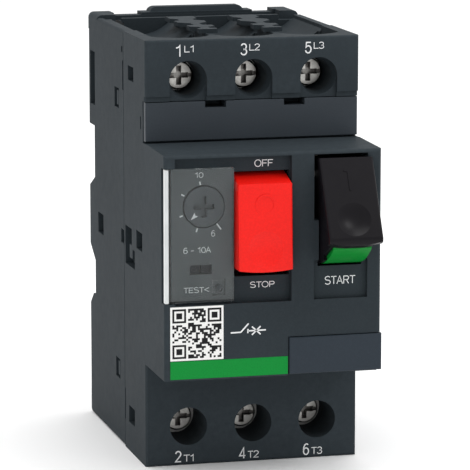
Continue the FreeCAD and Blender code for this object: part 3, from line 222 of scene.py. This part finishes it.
def metal(name, colour, roughness=0.3, brushed=(1, 1, 1)):
    """Metal with a drawn or plated surface; brushed stretches its streaks."""
    graph = Graph(name)
    streak = graph.noise(METAL_STREAK, 3.0, 0.6, brushed)
    patch = graph.noise(PATCH, 4.0)
    blend = metal_surface(graph, colour, streak, patch, 0.8, 0.85)
    rough = graph.spread(patch, roughness + 0.1, roughness - 0.06)
    return graph.finish(blend, rough, graph.bump(streak, 0.12, 0.00004))


def occluded(graph, colour, reach, dark):
    """Painted shade: the colour darkens towards a mottled dark tone in narrow recesses."""
    node = graph.tree.nodes.new("ShaderNodeAmbientOcclusion")
    node.samples = 8
    node.inputs["Distance"].default_value = reach
    # painted shade: a mottled dark tone that the AO mask lays into recesses
    recess_shade = graph.ramp(graph.noise(RECESS_SHADE_MOTTLE, 2.0), [(0.3, dark), (0.7, scaled(dark, 1.4))])
    openness = graph.spread(node.outputs["AO"], 0.0, 1.0, from_low=0.45, from_high=0.95)
    return graph.mix(openness, recess_shade, colour)


def screw_metal(name, colour):
    """Plated screw steel: fine streaks, dull patches, painted shade in its recess."""
    graph = Graph(name)
    streak = graph.noise(SCREW_STREAK, 3.0, 0.6)
    patch = graph.noise(PATCH, 4.0)
    blend = metal_surface(graph, colour, streak, patch, 0.72, 0.82)
    # painted shade: AO darkens the colour in the head's recess and cross
    shaded = occluded(graph, blend, 0.0016, (0.085, 0.080, 0.076))
    rough = graph.spread(patch, 0.46, 0.32)
    return graph.finish(shaded, rough, graph.bump(streak, 0.12, 0.00004))


def clear_plastic(name):
    """Thin clear cover: nearly colourless with faint haze, milky along its hinge strip."""
    graph = Graph(name)
    haze = graph.noise(HAZE, 4.0)
    colour = graph.ramp(haze, [(0.3, (0.80, 0.84, 0.84)), (0.7, (0.88, 0.91, 0.91))])
    milky = graph.ramp(haze, [(0.3, (0.60, 0.62, 0.62)), (0.7, (0.72, 0.74, 0.74))])
    axis = graph.tree.nodes.new("ShaderNodeSeparateXYZ")
    graph.link(graph.coords, axis.inputs["Vector"])
    frosted = graph.spread(axis.outputs["X"], 1.0, 0.0, from_low=MILKY_END, from_high=CLEAR_START)
    see_through = graph.spread(frosted, 1.0, 0.15, from_low=0.0, from_high=1.0)
    graph.link(see_through, graph.shader.inputs["Transmission Weight"])
    graph.shader.inputs["IOR"].default_value = 1.3
    rough = graph.spread(haze, 0.05, 0.12)
    normal = graph.bump(graph.noise(700, 2.0), 0.03, 0.00003)
    return graph.finish(graph.mix(frosted, colour, milky), rough, normal)


def printed(name, colour):
    """Pad-printed ink with slightly uneven cover."""
    graph = Graph(name)
    speck = graph.noise(INK_SPECK, 3.0)
    tone = graph.ramp(speck, [(0.3, scaled(colour, 0.86)), (0.6, colour)])
    rough = graph.spread(graph.noise(600), 0.45, 0.6)
    graph.shader.inputs["Specular IOR Level"].default_value = 0.15
    return graph.finish(tone, rough, graph.bump(speck, 0.08, 0.00002))


BODY = srgb(45, 51, 55)
ALONG_Y = (1, 12, 1)
DRAWN_Y = (1, 14, 1)
MATERIALS = {
    "housing": moulded("housing_plastic", BODY, 0.55, specular=0.03),
    "base": moulded("base_plastic", scaled(BODY, 0.98), 0.56, specular=0.03),
    "strip": moulded("strip_plastic", srgb(49, 55, 61), 0.44, grain=0.08, worn=1.15),
    "plate": moulded("plate_plastic", srgb(39, 47, 55), 0.4, grain=0.06, worn=1.2),
    "panel": moulded("panel_plastic", srgb(84, 88, 90), 0.45, grain=0.06, worn=1.2),
    "cover": clear_plastic("cover_clear"),
    "dial": moulded("dial_plastic", srgb(80, 84, 87), 0.42, grain=0.06, worn=1.2),
    "red": moulded("red_plastic", srgb(222, 22, 14), 0.36, grain=0.05, worn=1.08, specular=0.2),
    "black": moulded("black_plastic", srgb(15, 13, 17), 0.34, grain=0.06, worn=1.4, specular=0.13),
    "green": moulded("green_plastic", srgb(0, 116, 38), 0.4, grain=0.05, worn=1.2),
    "steel": metal("ground_steel", (0.58, 0.58, 0.57), 0.34, ALONG_Y),
    "screw_steel": screw_metal("plated_steel", (0.60, 0.59, 0.56)),
    "copper": metal("drawn_copper", (0.78, 0.42, 0.27), brushed=DRAWN_Y),
    "silver": metal("silver_alloy", (0.84, 0.83, 0.80)),
    "fibre": moulded("fibre_board", srgb(150, 124, 92), 0.75, grain=0.35, worn=1.1, grain_scale=1800),
    "inner_plastic": moulded("inner_plastic", srgb(196, 190, 176), grain=0.1, worn=1.1),
    "enamel": moulded("wire_enamel", srgb(150, 74, 34), 0.3, grain=0.04, worn=1.2, coat=0.5),
    "clip": moulded("clip_plastic", srgb(36, 39, 44), 0.48),
}
INK = printed("white_ink", srgb(222, 223, 224))
LABEL_WHITE = printed("label_white", srgb(228, 228, 226))
LABEL_BLACK = printed("label_black", srgb(20, 20, 22))
LABEL_GREEN = printed("label_green", srgb(0, 128, 48))

# The test slider gets the rail clip's dark plastic instead of its own slot's material.
slot_of = {entry["node"]: entry["material_slot"] for entry in frame["record"]["subparts"]}
slot_of["test_slider"] = "clip"
for node_name, node in frame["nodes"].items():
    node.data.materials.clear()
    node.data.materials.append(MATERIALS[slot_of[node_name]])


# --- pieces made here: printed marks and labels ---------------------------------------------
def new_piece(name, bm, body, materials):
    """Object from a finished mesh, which moves with a body and takes the given materials."""
    bmesh.ops.recalc_face_normals(bm, faces=bm.faces)
    mesh = bpy.data.meshes.new(name)
    bm.to_mesh(mesh)
    bm.free()
    piece = bpy.data.objects.new(name, mesh)
    bpy.context.scene.collection.objects.link(piece)
    for material in materials:
        mesh.materials.append(material)
    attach(piece, body)


def add_slab(bm, x0, x1, y0, y1, z0, z1, material=0):
    """Thin closed rectangular slab."""
    ring = ((x0, z0), (x1, z0), (x1, z1), (x0, z1))
    corners = [bm.verts.new(at(x, y, z)) for y in (y0, y1) for x, z in ring]
    faces = [(0, 1, 2, 3), (7, 6, 5, 4), (0, 4, 5, 1), (1, 5, 6, 2), (2, 6, 7, 3), (3, 7, 4, 0)]
    for indices in faces:
        bm.faces.new([corners[i] for i in indices]).material_index = material


LONGEST_MITRE = 0.5        # lower limit of the cosine that a mitred corner is divided by


def mitred_sides(points, i, closed, half):
    """Where the two edges of a stroke lie beside its point i: (x, z) left, (x, z) right."""
    last = len(points) - 1
    px, pz = points[i]
    ways = []
    if i or closed:
        before = points[i - 1] if i else points[last - 1]
        ways.append((px - before[0], pz - before[1]))
    if i < last or closed:
        after = points[i + 1] if i < last else points[1]
        ways.append((after[0] - px, after[1] - pz))
    units = [(a / math.hypot(a, b), b / math.hypot(a, b)) for a, b in ways]
    nx = -sum(u[1] for u in units)
    nz = sum(u[0] for u in units)
    size = math.hypot(nx, nz)
    nx, nz = nx / size, nz / size
    cosine = max(LONGEST_MITRE, nx * -units[0][1] + nz * units[0][0])
    left = (px + nx * half / cosine, pz + nz * half / cosine)
    right = (px - nx * half / cosine, pz - nz * half / cosine)
    return left, right


def add_stroke(bm, points, width, face_y):
    """Printed line of constant width through (x, z) points, on the face at face_y."""
    front, back = face_y - PRINT_PROUD, face_y + PRINT_SUNK
    closed = math.dist(points[0], points[-1]) < 1e-6
    rows = []
    for i in range(len(points)):
        left, right = mitred_sides(points, i, closed, width / 2)
        section = ((left, front), (right, front), (right, back), (left, back))
        rows.append([bm.verts.new(at(x, y, z)) for (x, z), y in section])
    for first, second in zip(rows, rows[1:]):
        for i in range(4):
            j = (i + 1) % 4
            bm.faces.new([first[i], first[j], second[j], second[i]])
    if closed:
        bmesh.ops.remove_doubles(bm, verts=rows[0] + rows[-1], dist=1e-8)
    else:
        bm.faces.new(rows[0][::-1])
        bm.faces.new(rows[-1])


def curve(cx, cz, rx, rz, start, end, steps=9):
    """Points of an ellipse's arc; the angles are in degrees, anticlockwise from the right."""
    angles = [math.radians(start + (end - start) * i / steps) for i in range(steps + 1)]
    return [(cx + rx * math.cos(a), cz + rz * math.sin(a)) for a in angles]


# Strokes of a plain upright alphabet, one unit high; the first number is the advance.
GLYPHS = {
    "0": (0.62, [curve(0.31, 0.5, 0.26, 0.5, 90, 450, 18)]),
    "1": (0.50, [[(0.06, 0.78), (0.24, 0.84), (0.33, 1.0), (0.33, 0.0)]]),
    "2": (0.62, [curve(0.31, 0.74, 0.25, 0.26, 170, -40) + [(0.05, 0.04), (0.58, 0.04)]]),
    "3": (0.62, [curve(0.30, 0.75, 0.23, 0.25, 160, -80) + curve(0.30, 0.27, 0.26, 0.27, 80, -165)]),
    "4": (0.64, [[(0.62, 0.25), (0.03, 0.25), (0.45, 1.0), (0.45, 0.0)]]),
    "5": (0.62, [[(0.54, 0.96), (0.14, 0.96), (0.09, 0.50)] + curve(0.30, 0.33, 0.26, 0.33, 125, -165)]),
    "6": (0.62, [curve(0.31, 0.31, 0.25, 0.31, 180, 540, 16), curve(0.36, 0.45, 0.30, 0.55, 60, 180)]),
    "A": (0.70, [[(0.02, 0.0), (0.33, 1.0), (0.64, 0.0)], [(0.12, 0.33), (0.54, 0.33)]]),
    "E": (0.66, [[(0.60, 0.96), (0.08, 0.96), (0.08, 0.04), (0.62, 0.04)],
                 [(0.08, 0.52), (0.55, 0.52)]]),
    "F": (0.64, [[(0.60, 0.96), (0.08, 0.96), (0.08, 0.0)], [(0.08, 0.50), (0.53, 0.50)]]),
    "L": (0.58, [[(0.08, 1.0), (0.08, 0.04), (0.55, 0.04)]]),
    "O": (0.82, [curve(0.39, 0.5, 0.35, 0.5, 90, 450, 20)]),
    "P": (0.68, [[(0.08, 0.0), (0.08, 0.96), (0.36, 0.96)] + curve(0.38, 0.71, 0.22, 0.25, 90, -90)
                 + [(0.08, 0.46)]]),
    "R": (0.72, [[(0.08, 0.0), (0.08, 0.96), (0.38, 0.96)] + curve(0.40, 0.72, 0.22, 0.24, 90, -90)
                 + [(0.08, 0.48)],
                 [(0.38, 0.48), (0.62, 0.0)]]),
    "S": (0.68, [curve(0.33, 0.76, 0.27, 0.24, 30, 235, 11) + curve(0.33, 0.26, 0.29, 0.26, 60, -155, 11)]),
    "T": (0.64, [[(0.02, 0.96), (0.62, 0.96)], [(0.32, 0.96), (0.32, 0.0)]]),
    "<": (0.70, [[(0.62, 0.90), (0.06, 0.50), (0.62, 0.10)]]),
    "-": (0.56, [[(0.06, 0.42), (0.46, 0.42)]]),
    " ": (0.36, []),
}


def lettering(name, words, x0, x1, z0, z1, y, weight=0.115):
    """Printed words that fill the box x0..x1, z0..z1 on a face that looks to the front at y."""
    height = z1 - z0
    stretch = (x1 - x0) / sum(GLYPHS[c][0] for c in words)
    bm = bmesh.new()
    cursor = x0
    for character in words:
        advance, strokes = GLYPHS[character]
        for stroke in strokes:
            points = [(cursor + px * stretch, z0 + pz * height) for px, pz in stroke]
            add_stroke(bm, points, weight * height, y)
        cursor += advance * stretch
    new_piece(name, bm, "case", [INK])


def terminal_marks():
    """A large number and a small name at each terminal, on both blocks."""
    name_start = 1.8
    name_weight = 0.12
    tops = [(-16.2, "1", "L1"), (-2.6, "3", "L2"), (11.0, "5", "L3")]
    for index, (x, digit, label) in enumerate(tops, start=1):
        name_x = x + name_start
        lettering("line_digit_%d" % index, digit, x, x + 1.45, 85.0, 87.25, UPPER_BLOCK_Y)
        lettering("line_name_%d" % index, label, name_x, x + 4.1, 85.85, 87.15, UPPER_BLOCK_Y, name_weight)
    feet = [(-16.4, "2", "T1"), (-2.7, "4", "T2"), (11.0, "6", "T3")]
    for index, (x, digit, label) in enumerate(feet, start=1):
        name_x = x + name_start
        lettering("load_digit_%d" % index, digit, x, x + 1.35, 0.75, 3.0, LOWER_BLOCK_Y)
        lettering("load_name_%d" % index, label, name_x, x + 4.2, 0.78, 2.2, LOWER_BLOCK_Y, name_weight)


def control_marks():
    lettering("off_mark", "OFF", -3.6, 0.3, 64.25, 65.6, FIELD_Y)
    lettering("stop_mark", "STOP", -4.5, 0.7, 39.7, 40.85, FIELD_Y)
    lettering("start_mark", "START", 10.9, 17.35, 39.8, 41.4, START_LABEL_Y, weight=0.1)
    lettering("test_mark", "TEST<", -18.3, -12.9, 39.25, 40.3, FIELD_Y, weight=0.13)
    lettering("range_mark", "6 - 10A", -18.35, -12.6, 47.3, 48.4, FIELD_Y, weight=0.13)
    lettering("scale_high", "10", -15.95, -14.15, 62.5, 63.5, FIELD_Y)
    lettering("scale_low", "6", -12.6, -11.75, 50.55, 51.7, FIELD_Y)


def round_dial(degrees):
    """Unit (x, z) at an angle that counts anticlockwise from the top of the dial."""
    angle = math.radians(90 + degrees)
    return math.cos(angle), math.sin(angle)


def scale_ticks():
    """Five ticks round the dial, each given by its angle and its two radii."""
    bm = bmesh.new()
    ticks = ((9, 4.45, 5.15), (60, 4.6, 5.3), (111, 4.6, 5.3), (163, 4.5, 5.3), (217, 4.4, 5.9))
    for degrees, inner, outer in ticks:
        c, s = round_dial(degrees)
        points = [(DIAL[0] + radius * c, DIAL[1] + radius * s) for radius in (inner, outer)]
        add_stroke(bm, points, LINE_WIDTH, FIELD_Y)
    new_piece("scale_ticks", bm, "case", [INK])


def dial_arrow():
    """Barbed arrowhead on the dial; its outline is (radius, sideways)."""
    out = round_dial(133)
    side = (-out[1], out[0])
    outline = [(3.75, 0.0), (2.2, 0.52), (2.45, 0.0), (2.2, -0.52)]
    ring = [(DIAL[0] + out[0] * a + side[0] * b, DIAL[1] + out[1] * a + side[1] * b) for a, b in outline]
    bm = bmesh.new()
    front = [bm.verts.new(at(x, DIAL_FACE_Y - PRINT_PROUD, z)) for x, z in ring]
    back = [bm.verts.new(at(x, DIAL_FACE_Y + PRINT_SUNK, z)) for x, z in ring]
    for trio in ((0, 1, 2), (0, 2, 3)):
        bm.faces.new([front[i] for i in trio])
        bm.faces.new([back[i] for i in trio][::-1])
    for i in range(4):
        j = (i + 1) % 4
        bm.faces.new([front[i], back[i], back[j], front[j]])
    new_piece("dial_arrow", bm, "dial", [INK])


# Square label and coloured band at the lower left of the nose.
LABEL_LEFT = -21.35
CODE_LOW = 25.75
CODE_SIZE = 10.95
CODE_MARGIN = 0.42
CODE_CELLS = 25
FINDER_CELLS = 7
BAND_RIGHT = 3.0
BAND_LOW = 21.95
BAND_HIGH = 25.6

# The labels' bench y: their faces lie just proud of the nose, the printed cells prouder still.
LABEL_Y = NOSE_Y - 0.02
LABEL_FRONT = LABEL_Y - 0.03
LABEL_BACK = LABEL_Y + 0.02
CELL_FRONT = LABEL_Y - 0.045
CELL_BACK = LABEL_Y - 0.02


def code_pattern():
    """Rows of dark and light cells: random, with a ringed square in three corners."""
    rng = random.Random(7)
    dark = [[rng.random() < 0.5 for _ in range(CODE_CELLS)] for _ in range(CODE_CELLS)]
    far = CODE_CELLS - FINDER_CELLS
    middle = FINDER_CELLS // 2
    for cx, cz in ((0, 0), (0, far), (far, far)):
        for i in range(-1, FINDER_CELLS + 1):
            for j in range(-1, FINDER_CELLS + 1):
                if 0 <= cx + i < CODE_CELLS and 0 <= cz + j < CODE_CELLS:
                    ring = max(abs(i - middle), abs(j - middle))
                    dark[cz + j][cx + i] = ring in (0, 1, 3)
    return dark


def dark_runs(row):
    """Pairs (first, one past last) of the unbroken dark stretches in a row of cells."""
    start = None
    for column, on in enumerate(row + [False]):
        if on and start is None:
            start = column
        if not on and start is not None:
            yield start, column
            start = None


def code_label():
    """Square label with a made-up block pattern, which holds no data."""
    bm = bmesh.new()
    right = LABEL_LEFT + CODE_SIZE
    add_slab(bm, LABEL_LEFT, right, LABEL_FRONT, LABEL_BACK, CODE_LOW, CODE_LOW + CODE_SIZE)
    pitch = (CODE_SIZE - 2 * CODE_MARGIN) / CODE_CELLS
    for number, row in enumerate(code_pattern()):
        low = CODE_LOW + CODE_MARGIN + number * pitch
        for first, end in dark_runs(row):
            x0 = LABEL_LEFT + CODE_MARGIN + first * pitch
            x1 = LABEL_LEFT + CODE_MARGIN + end * pitch
            add_slab(bm, x0, x1, CELL_FRONT, CELL_BACK, low, low + pitch, 1)
    new_piece("code_label", bm, "case", [LABEL_WHITE, LABEL_BLACK])


def colour_band():
    bm = bmesh.new()
    add_slab(bm, LABEL_LEFT, BAND_RIGHT, LABEL_FRONT, LABEL_BACK, BAND_LOW, BAND_HIGH)
    new_piece("colour_band", bm, "case", [LABEL_GREEN])


def circuit_symbol():
    """Switch contact with its breaker cross."""
    bm = bmesh.new()
    z = 31.2
    lines = [
        [(-8.9, z - 0.25), (-6.8, z - 0.2), (-5.2, z + 1.5)],
        [(-5.35, z - 0.45), (-5.3, z + 0.4)],
        [(-5.3, z), (-1.6, z + 0.05)],
        [(-4.5, z + 0.85), (-2.7, z - 0.8)],
        [(-4.5, z - 0.85), (-2.7, z + 0.85)],
    ]
    for points in lines:
        add_stroke(bm, points, LINE_WIDTH, NOSE_Y)
    new_piece("circuit_symbol", bm, "case", [INK])


terminal_marks()
control_marks()
scale_ticks()
dial_arrow()
code_label()
colour_band()
circuit_symbol()


# --- floor, light and camera ---------------------------------------------------------------
FLOOR_HALF = 3.0
LIT_POINT = (0.0, -0.03, 0.0)

# The lens is in millimetres for a 36 mm wide sensor; the camera's place is in metres.
CAMERA_PLACE = (-0.16661, -0.68447, 0.11243)
CAMERA_AZIMUTH = 14.39
CAMERA_ELEVATION = 9.63
SENSOR = 36.0
LENS = 248.3816


def build_floor():
    """Pale paper that the breaker stands on."""
    bm = bmesh.new()
    corners = ((-1, -1), (1, -1), (1, 1), (-1, 1))
    z = cad_box[0][2]
    bm.faces.new([bm.verts.new((x * FLOOR_HALF, y * FLOOR_HALF, z)) for x, y in corners])
    mesh = bpy.data.meshes.new("floor")
    bm.to_mesh(mesh)
    bm.free()
    floor = bpy.data.objects.new("floor", mesh)
    bpy.context.scene.collection.objects.link(floor)
    graph = Graph("floor_paper")
    tone = graph.ramp(graph.noise(3.0), [(0.3, (0.96, 0.96, 0.96)), (0.7, (0.98, 0.98, 0.98))])
    rough = graph.spread(graph.noise(40.0), 0.85, 0.95)
    mesh.materials.append(graph.finish(tone, rough))


def area_light(name, place, side, energy):
    """Square lamp that faces the breaker."""
    data = bpy.data.lights.new(name, "AREA")
    data.shape = "RECTANGLE"
    data.size = side
    data.size_y = side
    data.energy = energy
    lamp = bpy.data.objects.new(name, data)
    bpy.context.scene.collection.objects.link(lamp)
    lamp.location = place
    lamp.rotation_euler = (Vector(LIT_POINT) - Vector(place)).to_track_quat("-Z", "Y").to_euler()


def build_studio():
    """White surroundings, a key lamp at the upper right and a wide one overhead."""
    world = bpy.data.worlds.new("studio")
    bpy.context.scene.world = world
    world.use_nodes = True
    background = world.node_tree.nodes["Background"]
    background.inputs["Color"].default_value = (1, 1, 1, 1)
    background.inputs["Strength"].default_value = 1.0
    area_light("key", (0.62, -0.5, 0.85), side=0.35, energy=2.6)
    area_light("top", (0.0, 0.0, 0.9), side=0.7, energy=3.4)


def build_camera():
    azimuth = math.radians(CAMERA_AZIMUTH)
    elevation = math.radians(CAMERA_ELEVATION)
    level = math.cos(elevation)
    ahead = Vector((math.sin(azimuth) * level, math.cos(azimuth) * level, -math.sin(elevation)))
    right = Vector((math.cos(azimuth), -math.sin(azimuth), 0.0))
    up = right.cross(ahead)
    data = bpy.data.cameras.new("camera")
    data.sensor_width = SENSOR
    data.lens = LENS
    data.clip_start = 0.05
    data.clip_end = 20.0
    camera = bpy.data.objects.new("camera", data)
    bpy.context.scene.collection.objects.link(camera)
    turn = Matrix((right, up, -ahead)).transposed().to_4x4()
    camera.matrix_world = Matrix.Translation(CAMERA_PLACE) @ turn
    bpy.context.scene.camera = camera


build_floor()
build_studio()
build_camera()
bpy.context.scene.view_settings.view_transform = "Standard"
